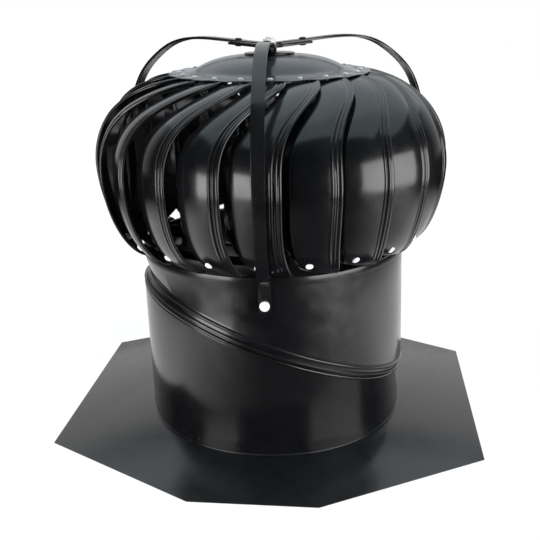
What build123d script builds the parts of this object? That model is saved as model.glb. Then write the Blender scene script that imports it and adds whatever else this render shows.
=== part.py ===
"""Roof turbine ventilator: an externally braced spinning head on a collar whose pitch can be set.

The frame has +Z up, with the origin on the duct axis at the underside of the flashing plate.
All lengths are millimetres and all angles degrees.
"""

from build123d import *
from math import atan2, cos, degrees, radians, sin, sqrt, tan
import os

# ---------------------------------------------------------------- sheet and fits
sheet = 0.8  # wall of the collars, ring and cap
vane_sheet = 0.8  # wall of a vane
plate_sheet = 0.9  # flashing plate
seat_gap = 0.3  # between curved pieces that lie on each other
running_gap = 0.05  # radial, bearing to shaft
bolt_gap = 0.1  # radial, bolt to its hole

# ---------------------------------------------------------------- flashing plate
plate_side = 482.6  # square blank
corner_cut_x = 174.5  # corner clip along the front and back edges
corner_cut_y = 100.6  # corner clip along the sides
neck_height = 14.0  # drawn neck that locates the collar
neck_bend = 0.5  # rounding of the drawn mouth

# ---------------------------------------------------------------- collars
collar_radius = 152.4  # outside of the round ends
collar_top = 208.5  # top rim above the roof face
foot_straight = 16.0  # round length above the plate, before the collar turns
rim_straight = 9.0  # round length under the top rim
rim_bead = 1.2  # rolled edges stand out by this much

# ---------------------------------------------------------------- swivel seam
seam_height = 112.0  # where the seam plane cuts the axis
seam_tilt = 21.0  # half of the pitch range
seam_heading = 20.0  # downhill side of the seam, from +X
swivel_radius = 161.0  # outside of both collars at the seam
swivel_gap = 0.3  # between the turning flanges
flange_reach = 2.8  # lower collar's flange past its wall
band_height = 10.0  # round band on each side of the seam
bead_drop = 6.4  # stiffening beads from the seam plane
bead_radius = 1.8

# ---------------------------------------------------------------- turbine head
vane_count = 21
vane_start = 7.25  # heading of the first vane's outer edge at the widest level
head_foot = 212.0  # lowest level of the vanes
head_middle = 305.0  # widest level
head_crown = 399.5  # highest level of the vanes
foot_radius = 154.0  # outer edges at those three levels
head_radius = 198.1
crown_radius = 98.0
foot_fullness = 1.7  # how squarely the lower half bellies out
crown_fullness = 2.05
foot_twist = 4.5  # turn of the outer edge from the middle to the foot
crown_twist = 20.0  # and from the middle to the crown
twist_onset = 2.7
vane_width_foot = 34.0
vane_width_middle = 46.0
vane_width_crown = 28.0
vane_depth_foot = 5.0
vane_depth_middle = 16.0
vane_depth_crown = 1.6
hem_width = 2.6  # rolled outer edge
hem_thickness = 2.2
rib_width = 4.0  # bead beside the rolled edge
rib_rise = 1.2
lip_width = 2.4  # curled inner edge
station_count = 13

# ---------------------------------------------------------------- ring, cap and rotor bearings
ring_inner = 147.0
ring_start = 0.985  # share of the lower half where the ring's wall starts
ring_finish = 0.88  # and where it ends
cap_radius = 112.0
cap_brim = 96.0  # inner radius of the flat brim
cap_seat = 84.0  # radius where the dome starts
cap_fall = 0.7  # the brim drops to its rim
cap_step = 2.4  # brim to dome
cap_top = 419.5
cap_flat = 30.0  # radius of the flat crown of the dome
housing_radius = 8.2
housing_flange = 28.0
housing_sheet = 1.6
housing_depth = 9.0  # below the crown of the dome
housing_gap = 0.8  # under the fixed hub
bush_wall = 1.6
shaft_radius = 5.0
spider_arm_width = 14.0
spider_sheet = 2.0
spider_hub_radius = 22.0
spider_count = 3
spider_heading = 32.0
spider_reach = 155.0
lower_housing_height = 14.0

# ---------------------------------------------------------------- fixed braces
brace_count = 3
brace_heading = 2.6  # first brace, from -Y
strap_width = 12.7
strap_thickness = 3.0
hub_underside = 426.5
hub_thickness = 2.4
hub_radius = 15.0
hub_arm_length = 50.0
hub_arm_slope = 4.0  # the arms and straps rise outwards
hub_arm_width = 18.0
strap_start = 11.5
strap_end = 173.0  # lowest level of the straps
strap_bolt_level = 180.3
strap_join = 192.0  # where the straps meet the collar's wall
hub_rivet_place = 42.0
rivet_radius = 2.4
rivet_head_radius = 4.2
rivet_head_height = 1.8
bolt_radius = 3.0
bolt_head_radius = 5.2
bolt_head_height = 3.4
nut_flats = 9.0
nut_height = 4.5
lower_brace_level = 188.0
lower_brace_width = 16.0
lower_brace_sheet = 2.4
lower_brace_tab = 18.0
lower_hub_radius = 20.0
stud_radius = 4.0
stud_nut_flats = 13.0
stud_nut_height = 6.8
stud_reach = 2.0  # stud past its nut
thrust_radius = 11.0
thrust_height = 7.0

os.makedirs("parts", exist_ok=True)


def save(piece, name):
    """Label a finished piece and write its STEP file."""
    piece.part.label = name
    export_step(piece.part, f"parts/{name}.step")


# ---------------------------------------------------------------- shared planes
downhill = Vector(cos(radians(seam_heading)), sin(radians(seam_heading)), 0)
seam_normal = downhill * sin(radians(seam_tilt)) + Vector(0, 0, cos(radians(seam_tilt)))
seam_run = downhill * cos(radians(seam_tilt)) - Vector(0, 0, sin(radians(seam_tilt)))
seam = Plane(origin=(0, 0, seam_height), x_dir=seam_run, z_dir=seam_normal)
seam_axis = Axis(seam.origin, seam_normal)
seam_section = Plane(origin=seam.origin, x_dir=seam_run, z_dir=seam.y_dir * -1)


def level(height):
    """Horizontal plane at a height, with its X axis to the seam's downhill side."""
    return Plane(origin=(0, 0, height), x_dir=downhill, z_dir=(0, 0, 1))


def radial(heading):
    """Upright plane through the axis: X runs out along the heading, Y runs up."""
    turn = radians(heading - 90)
    return Plane(origin=(0, 0, 0), x_dir=(cos(turn), sin(turn), 0), z_dir=(sin(turn), -cos(turn), 0))


def collar_wall_radius(heading, height):
    """Outside radius of the upper collar's tapering wall at one heading and height."""
    round_end = collar_top - rim_straight
    swing = radians(heading - 90 - seam_heading)
    around = atan2(sin(swing) * cos(radians(seam_tilt)), cos(swing))
    along = swivel_radius * cos(around) * cos(radians(seam_tilt)) + band_height * sin(radians(seam_tilt))
    flat = sqrt(along**2 + (swivel_radius * sin(around)) ** 2)
    start = seam.origin.Z + band_height * cos(radians(seam_tilt))
    start = start - swivel_radius * cos(around) * sin(radians(seam_tilt))
    share = min(1.0, max(0.0, (height - start) / (round_end - start)))
    return flat + (collar_radius - flat) * share


# ---------------------------------------------------------------- flashing plate
half = plate_side / 2
neck_radius = collar_radius - sheet - seat_gap
corner_x = half - corner_cut_x
corner_y = half - corner_cut_y
outline = [
    (corner_x, -half),
    (half, -corner_y),
    (half, corner_y),
    (corner_x, half),
    (-corner_x, half),
    (-half, corner_y),
    (-half, -corner_y),
    (-corner_x, -half),
]
with BuildPart() as flashing_plate:
    with BuildSketch(Plane.XY):
        with BuildLine():
            Polyline(*outline, close=True)
        make_face()
    extrude(amount=plate_sheet)
    with BuildSketch(Plane.XY):
        Circle(neck_radius)
    extrude(amount=neck_height)
    with BuildSketch(Plane.XY):
        Circle(neck_radius - sheet)
    extrude(amount=neck_height, mode=Mode.SUBTRACT)
    mouth = flashing_plate.edges().filter_by(GeomType.CIRCLE).sort_by(Axis.Z)[0]
    chamfer(mouth, neck_bend)
save(flashing_plate, "flashing_plate")


# ---------------------------------------------------------------- collars
def bead_section(level_on_axis):
    """Section of a half-round stiffening bead on the round band, at a level along the seam's axis."""
    with BuildSketch(seam_section) as section:
        with Locations((swivel_radius - sheet / 2, level_on_axis)):
            Circle(bead_radius + sheet / 2)
        with Locations((swivel_radius - sheet - bead_radius, level_on_axis)):
            Rectangle(2 * bead_radius, 4 * bead_radius, mode=Mode.SUBTRACT)
    return section.sketch


foot_hem = sheet + rim_bead
flange_top = -swivel_gap / 2
flange_tip = swivel_radius + flange_reach
with BuildPart() as lower_collar:
    with BuildSketch(level(plate_sheet)):
        Circle(collar_radius)
        Circle(collar_radius - sheet, mode=Mode.SUBTRACT)
    extrude(amount=foot_straight)
    with BuildSketch(level(plate_sheet)):
        Circle(collar_radius + rim_bead)
        Circle(collar_radius - sheet, mode=Mode.SUBTRACT)
    extrude(amount=foot_hem)
    with BuildSketch(level(plate_sheet + foot_straight)):
        Circle(collar_radius)
    with BuildSketch(seam.offset(-band_height)):
        Circle(swivel_radius)
    loft(ruled=True)
    with BuildSketch(level(plate_sheet + foot_straight)):
        Circle(collar_radius - sheet)
    with BuildSketch(seam.offset(-band_height)):
        Circle(swivel_radius - sheet)
    loft(ruled=True, mode=Mode.SUBTRACT)
    with BuildSketch(seam_section):
        with BuildLine():
            Polyline(
                (swivel_radius - sheet, -band_height),
                (swivel_radius, -band_height),
                (swivel_radius, flange_top - sheet),
                (flange_tip, flange_top - sheet),
                (flange_tip, flange_top),
                (swivel_radius - sheet, flange_top),
                close=True,
            )
        make_face()
    revolve(axis=seam_axis)
    revolve(bead_section(-bead_drop), axis=seam_axis)
save(lower_collar, "lower_collar")

hem_inner = flange_tip + swivel_gap
hem_outer = hem_inner + sheet
hem_roof = flange_top + swivel_gap
hem_floor = flange_top - sheet - swivel_gap
with BuildPart() as upper_collar:
    with BuildSketch(seam_section):
        with BuildLine():
            Polyline(
                (swivel_radius - sheet, hem_roof),
                (hem_inner, hem_roof),
                (hem_inner, hem_floor),
                (swivel_radius + swivel_gap, hem_floor),
                (swivel_radius + swivel_gap, hem_floor - sheet),
                (hem_outer, hem_floor - sheet),
                (hem_outer, hem_roof + sheet),
                (swivel_radius, hem_roof + sheet),
                (swivel_radius, band_height),
                (swivel_radius - sheet, band_height),
                close=True,
            )
        make_face()
    revolve(axis=seam_axis)
    revolve(bead_section(bead_drop), axis=seam_axis)
    with BuildSketch(seam.offset(band_height)):
        Circle(swivel_radius)
    with BuildSketch(level(collar_top - rim_straight)):
        Circle(collar_radius)
    loft(ruled=True)
    with BuildSketch(seam.offset(band_height)):
        Circle(swivel_radius - sheet)
    with BuildSketch(level(collar_top - rim_straight)):
        Circle(collar_radius - sheet)
    loft(ruled=True, mode=Mode.SUBTRACT)
    with BuildSketch(level(collar_top - rim_straight)):
        Circle(collar_radius)
        Circle(collar_radius - sheet, mode=Mode.SUBTRACT)
    extrude(amount=rim_straight)
    with BuildSketch(level(collar_top - foot_hem)):
        Circle(collar_radius)
        Circle(collar_radius - foot_hem, mode=Mode.SUBTRACT)
    extrude(amount=foot_hem)


# ---------------------------------------------------------------- turbine vanes
def blend(foot, middle, crown, share):
    """Value at a share of the head's height, from -1 at the foot to 1 at the crown."""
    end = crown if share > 0 else foot
    return middle + (end - middle) * abs(share) ** 2


def edge_point(share):
    """Radius, height and turn of a vane's outer edge at a share of the head's height."""
    upper = share > 0
    end_radius = crown_radius if upper else foot_radius
    fullness = crown_fullness if upper else foot_fullness
    end_height = head_crown if upper else head_foot
    twist = crown_twist if upper else foot_twist
    radius = end_radius + (head_radius - end_radius) * sqrt(max(0.0, 1 - abs(share) ** fullness))
    height = head_middle + (end_height - head_middle) * abs(share)
    return radius, height, twist * abs(share) ** twist_onset


def vane_profile(width, depth, tip):
    """Closed section of a vane: rolled outer edge, bead beside it, dished blade, curled inner edge."""
    bead = rib_rise * tip
    half_sheet = vane_sheet / 2
    middle = (hem_width + rib_width + width) / 2
    outer = [
        (0, -hem_thickness / 2),
        (0, hem_thickness / 2),
        (hem_width, half_sheet),
        (hem_width + rib_width / 2, half_sheet + bead),
        (hem_width + rib_width, half_sheet - depth * 0.1),
        (middle, half_sheet - depth * 0.42),
        (width - lip_width, half_sheet - depth * 0.9),
        (width, half_sheet - depth),
    ]
    inner = [
        (width - lip_width * 0.4, -half_sheet - depth - 0.8 * tip),
        (width - lip_width, -half_sheet - depth * 0.9),
        (middle, -half_sheet - depth * 0.42),
        (hem_width + rib_width, -half_sheet - depth * 0.1),
        (hem_width, -half_sheet),
    ]
    return outer + inner


def vane_plane(heading, share):
    """Plane square to the head's outline: X runs back along the vane, Y runs outwards."""
    radius, height, turn = edge_point(share)
    before = edge_point(max(-1.0, share - 0.01))
    after = edge_point(min(1.0, share + 0.01))
    rise = Vector(after[0] - before[0], after[1] - before[1]).normalized()
    swing = radians(heading + turn - 90)
    out = Vector(cos(swing), sin(swing), 0)
    back = Vector(sin(swing), -cos(swing), 0)
    along = out * rise.X + Vector(0, 0, rise.Y)
    return Plane(origin=out * radius + Vector(0, 0, height), x_dir=back, z_dir=along)


vane_names = [f"vane_{number + 1:02d}" for number in range(vane_count)]
vane_pitch = 360 / vane_count
shares = [sin(radians(-90 + 180 * step / (station_count - 1))) for step in range(station_count)]
for number, name in enumerate(vane_names):
    heading = vane_start + number * vane_pitch
    with BuildPart() as vane:
        for share in shares:
            width = blend(vane_width_foot, vane_width_middle, vane_width_crown, share)
            depth = blend(vane_depth_foot, vane_depth_middle, vane_depth_crown, share)
            with BuildSketch(vane_plane(heading, share)):
                with BuildLine():
                    Polyline(*vane_profile(width, depth, 1 - share**2 * 0.8), close=True)
                make_face()
        loft()
    save(vane, name)


# ---------------------------------------------------------------- bottom ring and cap
def inside_vanes(share):
    """Point of the head's outline moved in to just clear the vanes' inner edges."""
    radius, height, _ = edge_point(share)
    before = edge_point(max(-1.0, share - 0.01))
    after = edge_point(share + 0.01)
    rise = Vector(after[0] - before[0], after[1] - before[1]).normalized()
    depth = blend(vane_depth_foot, vane_depth_middle, vane_depth_crown, share)
    inward = depth + vane_sheet / 2 + lip_width / 3 + seat_gap
    return radius - rise.Y * inward, height + rise.X * inward


ring_foot = inside_vanes(-ring_start)
ring_crest = inside_vanes(-ring_finish)
ring_floor = ring_foot[1] - sheet
with BuildPart() as bottom_ring:
    with BuildSketch(Plane.XZ):
        with BuildLine():
            Polyline(
                (ring_inner, ring_floor),
                (ring_foot[0] + sheet / 2, ring_floor),
                (ring_crest[0], ring_crest[1]),
                (ring_crest[0] - sheet, ring_crest[1] + sheet / 2),
                (ring_foot[0] - sheet / 2, ring_floor + sheet),
                (ring_inner, ring_floor + sheet),
                close=True,
            )
        make_face()
    revolve(axis=Axis.Z)
save(bottom_ring, "bottom_ring")

brim_level = head_crown + hem_thickness / 2 + cap_fall
crown_underside = cap_top - sheet
with BuildPart() as cap:
    with BuildSketch(Plane.XZ):
        with BuildLine():
            Polyline(
                (cap_flat, cap_top),
                (housing_radius + bolt_gap, cap_top),
                (housing_radius + bolt_gap, crown_underside),
                (cap_flat, crown_underside),
            )
            ThreePointArc(
                (cap_flat, crown_underside),
                ((cap_flat + cap_seat) / 2, (crown_underside * 2.9 + brim_level + cap_step) / 3.9),
                (cap_seat, brim_level + cap_step),
            )
            Polyline(
                (cap_seat, brim_level + cap_step),
                (cap_brim, brim_level),
                (cap_radius, brim_level - cap_fall),
                (cap_radius, brim_level - cap_fall + sheet),
                (cap_brim, brim_level + sheet),
                (cap_seat, brim_level + cap_step + sheet),
            )
            ThreePointArc(
                (cap_seat, brim_level + cap_step + sheet),
                ((cap_flat + cap_seat) / 2, (cap_top * 2.9 + brim_level + cap_step + sheet) / 3.9),
                (cap_flat, cap_top),
            )
        make_face()
    revolve(axis=Axis.Z)
save(cap, "cap")

# ---------------------------------------------------------------- rotor bearings and spider
bush_radius = shaft_radius + running_gap + bush_wall
housing_top = hub_underside - housing_gap
with BuildPart() as upper_housing:
    with BuildSketch(level(cap_top - housing_depth)):
        Circle(housing_radius)
        Circle(bush_radius + bolt_gap, mode=Mode.SUBTRACT)
    extrude(amount=housing_top - cap_top + housing_depth)
    with BuildSketch(level(cap_top)):
        Circle(housing_flange)
        Circle(housing_radius - sheet, mode=Mode.SUBTRACT)
    extrude(amount=housing_sheet)
save(upper_housing, "upper_housing")

with BuildPart() as upper_bush:
    with BuildSketch(level(cap_top - housing_depth)):
        Circle(bush_radius)
        Circle(shaft_radius + running_gap, mode=Mode.SUBTRACT)
    extrude(amount=housing_top - cap_top + housing_depth)
save(upper_bush, "upper_bush")

spider_level = ring_floor + sheet
lower_housing_foot = spider_level - lower_housing_height / 2
with BuildPart() as rotor_spider:
    with BuildSketch(level(spider_level)):
        Circle(spider_hub_radius)
    extrude(amount=spider_sheet)
    for arm in range(spider_count):
        with BuildSketch(radial(spider_heading + arm * 360 / spider_count)):
            with BuildLine():
                Polyline(
                    (0, spider_level),
                    (spider_reach, spider_level),
                    (spider_reach, spider_level + spider_sheet),
                    (ring_inner - 2, spider_level + spider_sheet),
                    (ring_inner - 6, spider_level + spider_sheet + 3),
                    (spider_hub_radius + 8, spider_level + spider_sheet + 3),
                    (spider_hub_radius + 2, spider_level + spider_sheet),
                    (0, spider_level + spider_sheet),
                    close=True,
                )
            make_face()
            with BuildLine():
                Polyline(
                    (spider_hub_radius + 4, spider_level),
                    (spider_hub_radius + 9, spider_level + 3),
                    (ring_inner - 7, spider_level + 3),
                    (ring_inner - 2, spider_level),
                    close=True,
                )
            make_face(mode=Mode.SUBTRACT)
        extrude(amount=spider_arm_width / 2, both=True)
    with BuildSketch(level(lower_housing_foot)):
        Circle(bush_radius + bolt_gap + 2)
    extrude(amount=lower_housing_height)
    with BuildSketch(level(lower_housing_foot)):
        Circle(bush_radius + bolt_gap)
    extrude(amount=lower_housing_height, mode=Mode.SUBTRACT)
save(rotor_spider, "rotor_spider")

with BuildPart() as lower_bush:
    with BuildSketch(level(lower_housing_foot)):
        Circle(bush_radius)
        Circle(shaft_radius + running_gap, mode=Mode.SUBTRACT)
    extrude(amount=lower_housing_height)
save(lower_bush, "lower_bush")

# ---------------------------------------------------------------- fixed shaft and hub
brace_headings = [brace_heading + number * 360 / brace_count for number in range(brace_count)]
brace_names = ["front", "right", "left"]
hub_top = hub_underside + hub_thickness
lower_brace_top = lower_brace_level + lower_brace_sheet
with BuildPart() as shaft:
    with BuildSketch(level(lower_brace_top)):
        Circle(shaft_radius)
    extrude(amount=hub_underside - lower_brace_top)
    with BuildSketch(level(hub_underside)):
        Circle(stud_radius)
    extrude(amount=hub_thickness + stud_nut_height + stud_reach)
    with BuildSketch(level(lower_brace_top)):
        Circle(stud_radius)
    extrude(amount=-(lower_brace_sheet + stud_nut_height + stud_reach))
save(shaft, "shaft")

arm_bend = strap_start - 1


def arm_level(radius):
    """Level of an arm's upper face at a radius."""
    return hub_top + (radius - arm_bend) * tan(radians(hub_arm_slope))


def rivet_plane(heading):
    """Plane on the arm's upper face at its rivet, square to the arm."""
    turn = radians(heading - 90)
    out = Vector(cos(turn), sin(turn), 0)
    place = out * hub_rivet_place + Vector(0, 0, arm_level(hub_rivet_place))
    normal = Vector(0, 0, cos(radians(hub_arm_slope))) - out * sin(radians(hub_arm_slope))
    return Plane(origin=place, x_dir=(-sin(turn), cos(turn), 0), z_dir=normal)


with BuildPart() as brace_hub:
    with BuildSketch(level(hub_underside)):
        Circle(hub_radius)
    extrude(amount=hub_thickness)
    for heading in brace_headings:
        with BuildSketch(radial(heading)):
            with BuildLine():
                Polyline(
                    (0, hub_underside),
                    (arm_bend, hub_underside),
                    (hub_arm_length, arm_level(hub_arm_length) - hub_thickness),
                    (hub_arm_length, arm_level(hub_arm_length)),
                    (arm_bend, hub_top),
                    (0, hub_top),
                    close=True,
                )
            make_face()
        extrude(amount=hub_arm_width / 2, both=True)
        with BuildSketch(rivet_plane(heading)):
            Circle(rivet_radius + bolt_gap)
        extrude(amount=-2 * hub_thickness, mode=Mode.SUBTRACT)
    with BuildSketch(level(hub_underside)):
        Circle(stud_radius + bolt_gap)
    extrude(amount=hub_thickness, mode=Mode.SUBTRACT)
save(brace_hub, "brace_hub")


def stud_nut(height):
    """Hexagon nut on a stud of the shaft."""
    with BuildPart() as nut:
        with BuildSketch(level(height)):
            RegularPolygon(stud_nut_flats / 2, 6, major_radius=False)
            Circle(stud_radius + bolt_gap, mode=Mode.SUBTRACT)
        extrude(amount=stud_nut_height)
    return nut


save(stud_nut(hub_top), "top_nut")
save(stud_nut(lower_brace_level - stud_nut_height), "bottom_nut")

with BuildPart() as thrust_collar:
    with BuildSketch(level(lower_housing_foot - seat_gap - thrust_height)):
        Circle(thrust_radius)
        Circle(shaft_radius + bolt_gap, mode=Mode.SUBTRACT)
    extrude(amount=thrust_height)
save(thrust_collar, "thrust_collar")


# ---------------------------------------------------------------- braces, lower brace and bolts
def wall_line(heading):
    """The collar wall's outside from the strap's end up to where the strap leaves it."""
    low = Vector(collar_wall_radius(heading, strap_end), strap_end)
    high = Vector(collar_wall_radius(heading, strap_join), strap_join)
    return low, high


def bolt_plane(heading):
    """Plane on the strap's outer face at its bolt, with Z outwards, square to the face."""
    low, high = wall_line(heading)
    rise = (high - low).normalized()
    out = Vector(rise.Y, -rise.X)
    place = low + rise * (strap_bolt_level - strap_end) + out * (seat_gap + strap_thickness)
    turn = radians(heading - 90)
    origin = Vector(place.X * cos(turn), place.X * sin(turn), place.Y)
    normal = Vector(out.X * cos(turn), out.X * sin(turn), out.Y)
    return Plane(origin=origin, x_dir=(-sin(turn), cos(turn), 0), z_dir=normal)


strap_line = arm_level(strap_start) + strap_thickness / 2
tab_stand_off = sheet + 2 * seat_gap + lower_brace_width**2 / (8 * collar_radius)
grip = strap_thickness + seat_gap + tab_stand_off + lower_brace_sheet
for heading, side in zip(brace_headings, brace_names):
    low, high = wall_line(heading)
    rise = (high - low).normalized()
    out = Vector(rise.Y, -rise.X)
    stand_off = out * (seat_gap + strap_thickness / 2)
    foot = low + stand_off
    knee = high + stand_off
    with BuildPart() as strap:
        with BuildSketch(radial(heading)):
            with BuildLine():
                arm_tip = (hub_arm_length, arm_level(hub_arm_length) + strap_thickness / 2)
                Polyline((strap_start, strap_line), arm_tip)
                Spline(
                    arm_tip,
                    (107, strap_line + 4.6),
                    (134, strap_line - 0.6),
                    (162, strap_line - 15.6),
                    (187, strap_line - 38.4),
                    (202.5, strap_line - 69),
                    (208.5, strap_line - 110),
                    (205, strap_line - 151),
                    (195.5, strap_line - 183),
                    (182.5, strap_line - 205),
                    (167, strap_line - 222),
                    (knee.X, knee.Y),
                    tangents=[(1, tan(radians(hub_arm_slope))), (-rise.X, -rise.Y)],
                )
                Polyline((knee.X, knee.Y), (foot.X, foot.Y))
            trace(line_width=strap_thickness)
        extrude(amount=strap_width / 2, both=True)
        with BuildSketch(bolt_plane(heading)):
            Circle(bolt_radius + bolt_gap)
        extrude(amount=-2 * strap_thickness, mode=Mode.SUBTRACT)
        with BuildSketch(rivet_plane(heading)):
            Circle(rivet_radius + bolt_gap)
        extrude(amount=2 * strap_thickness, mode=Mode.SUBTRACT)
    save(strap, f"brace_{side}")

    with BuildPart() as bolt:
        with BuildSketch(bolt_plane(heading)):
            Circle(bolt_head_radius)
        extrude(amount=bolt_head_height)
        with BuildSketch(bolt_plane(heading)):
            Circle(bolt_radius)
        extrude(amount=-(grip + nut_height + 1))
    save(bolt, f"bolt_{side}")

    with BuildPart() as nut:
        with BuildSketch(bolt_plane(heading).offset(-grip)):
            RegularPolygon(nut_flats / 2, 6, major_radius=False)
            Circle(bolt_radius + bolt_gap, mode=Mode.SUBTRACT)
        extrude(amount=-nut_height)
    save(nut, f"bolt_nut_{side}")

    with BuildPart() as rivet:
        with BuildSketch(rivet_plane(heading).offset(strap_thickness)):
            Circle(rivet_head_radius)
        extrude(amount=rivet_head_height, taper=25)
        with BuildSketch(rivet_plane(heading).offset(-hub_thickness)):
            Circle(rivet_head_radius)
        extrude(amount=-rivet_head_height, taper=25)
        with BuildSketch(rivet_plane(heading).offset(-hub_thickness)):
            Circle(rivet_radius)
        extrude(amount=hub_thickness + strap_thickness)
    save(rivet, f"hub_rivet_{side}")

with BuildPart() as lower_brace:
    with BuildSketch(level(lower_brace_level)):
        Circle(lower_hub_radius)
    extrude(amount=lower_brace_sheet)
    for heading in brace_headings:
        low, high = wall_line(heading)
        rise = (high - low).normalized()
        inward = Vector(-rise.Y, rise.X)
        face = low + inward * tab_stand_off
        crest = face + rise * (lower_brace_top - strap_end)
        toe = face + rise * (lower_brace_top - lower_brace_tab - strap_end)
        inner_toe = toe + inward * lower_brace_sheet
        inner_crest = inner_toe + rise * (lower_brace_tab - lower_brace_sheet)
        with BuildSketch(radial(heading)):
            with BuildLine():
                Polyline(
                    (0, lower_brace_top),
                    (crest.X, lower_brace_top),
                    (toe.X, toe.Y),
                    (inner_toe.X, inner_toe.Y),
                    (inner_crest.X, lower_brace_level),
                    (0, lower_brace_level),
                    close=True,
                )
            make_face()
        extrude(amount=lower_brace_width / 2, both=True)
        with BuildSketch(bolt_plane(heading)):
            Circle(bolt_radius + bolt_gap)
        extrude(amount=-2 * grip, mode=Mode.SUBTRACT)
    with BuildSketch(level(lower_brace_level)):
        Circle(stud_radius + bolt_gap)
    extrude(amount=lower_brace_sheet, mode=Mode.SUBTRACT)
save(lower_brace, "lower_brace")

with upper_collar:
    for heading in brace_headings:
        with BuildSketch(bolt_plane(heading)):
            Circle(bolt_radius + bolt_gap)
        extrude(amount=-2 * grip, mode=Mode.SUBTRACT)
save(upper_collar, "upper_collar")
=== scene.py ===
"""Looks of an externally braced roof turbine ventilator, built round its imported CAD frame.

The dataclasses hold millimetres and degrees. Every mesh is scaled to metres as it is finished.
Headings are measured from the front (-Y), counter-clockwise seen from above.
"""

import logging
from collections.abc import Sequence
from dataclasses import dataclass
from enum import Enum
from math import atan2, cos, degrees, pi, radians, sin, sqrt

import bmesh
import bpy
from mathutils import Matrix, Vector

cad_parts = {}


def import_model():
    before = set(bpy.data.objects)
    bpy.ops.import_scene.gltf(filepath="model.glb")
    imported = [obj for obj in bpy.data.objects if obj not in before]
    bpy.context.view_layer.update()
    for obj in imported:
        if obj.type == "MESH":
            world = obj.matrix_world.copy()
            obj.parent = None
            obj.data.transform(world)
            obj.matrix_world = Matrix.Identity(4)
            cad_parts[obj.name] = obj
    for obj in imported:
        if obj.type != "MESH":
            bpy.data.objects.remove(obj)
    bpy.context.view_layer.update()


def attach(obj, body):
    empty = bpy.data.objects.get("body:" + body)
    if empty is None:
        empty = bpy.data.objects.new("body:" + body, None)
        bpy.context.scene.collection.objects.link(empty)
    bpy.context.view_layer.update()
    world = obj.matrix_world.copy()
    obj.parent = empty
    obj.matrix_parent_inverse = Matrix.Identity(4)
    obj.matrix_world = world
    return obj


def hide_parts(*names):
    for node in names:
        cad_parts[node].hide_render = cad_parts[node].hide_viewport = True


MM = 0.001
log = logging.getLogger("ventilator")

Point = tuple[float, float]
Station = tuple[float, Matrix]
Triple = tuple[float, float, float]
Socket = bpy.types.NodeSocket


class Body(Enum):
    """The bodies that move against each other."""

    BASE = "base"
    UPPER = "upper"
    TURBINE = "turbine"


class Slot(Enum):
    """The record's material slots."""

    BODY = "body_paint"
    FLASHING = "flashing_paint"
    VANE = "vane_paint"
    CAP = "cap_paint"
    BRACE = "brace_paint"
    ZINC = "bright_zinc"
    BRONZE = "bearing_bronze"


# ---------------------------------------------------------------- finishes
class NodeBench:
    """A node tree wired by short calls."""

    def __init__(self, tree: bpy.types.NodeTree) -> None:
        """Keep the tree.

        Args:
            tree: Tree that the nodes go into.
        """
        self.tree = tree

    def node(self, kind: str, inputs: dict | None = None, **settings: object) -> bpy.types.Node:
        """Add a node.

        Args:
            kind: Node type, without its ShaderNode prefix.
            inputs: Values or sockets for its inputs.
            settings: Its own settings.

        Returns:
            The node.
        """
        made = self.tree.nodes.new("ShaderNode" + kind)
        for key, value in settings.items():
            setattr(made, key, value)
        for key, value in (inputs or {}).items():
            if isinstance(value, Socket):
                self.tree.links.new(value, made.inputs[key])
            else:
                made.inputs[key].default_value = value
        return made

    def pick(self, factor: Socket, low: object, high: object) -> Socket:
        """Number between two others by a factor.

        Args:
            factor: 0 gives the low one and 1 the high one.
            low: Number or socket at 0.
            high: Number or socket at 1.

        Returns:
            The number.
        """
        return self.node("Mix", {"Factor": factor, "A": low, "B": high}).outputs["Result"]

    def ramp(self, value: Socket, start: Point, end: Point) -> Socket:
        """Straight ramp between two (value, result) pairs, held level past them.

        Args:
            value: What the ramp reads.
            start: Its first pair.
            end: Its last pair.

        Returns:
            The result.
        """
        limits = {"From Min": start[0], "To Min": start[1], "From Max": end[0], "To Max": end[1]}
        return self.node("MapRange", {"Value": value, **limits}).outputs["Result"]

    def facing_share(self, place: Socket, heading: float) -> Socket:
        """Cosine of the angle between a place's heading and a given one.

        Args:
            place: Place or direction from the axis.
            heading: The given heading.

        Returns:
            The cosine.
        """
        flat = self.node("VectorMath", {0: place, 1: (1, 1, 0)}, operation="MULTIPLY").outputs[0]
        course = self.node("VectorMath", {0: flat}, operation="NORMALIZE").outputs[0]
        dot = self.node("VectorMath", {0: course, 1: around(heading)}, operation="DOT_PRODUCT")
        return dot.outputs["Value"]

    def seen_white(self) -> Socket:
        """Factor that is 1 for camera, mirror and glass rays and 0 for the rest."""
        path = self.node("LightPath").outputs
        factor = path["Is Camera Ray"]
        for ray in ("Is Glossy Ray", "Is Transmission Ray"):
            factor = self.node("Math", {0: factor, 1: path[ray]}, operation="MAXIMUM").outputs[0]
        return factor

    def mirrored(self) -> Socket:
        """Factor that is 1 for mirror rays alone."""
        return self.node("LightPath").outputs["Is Glossy Ray"]


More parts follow.
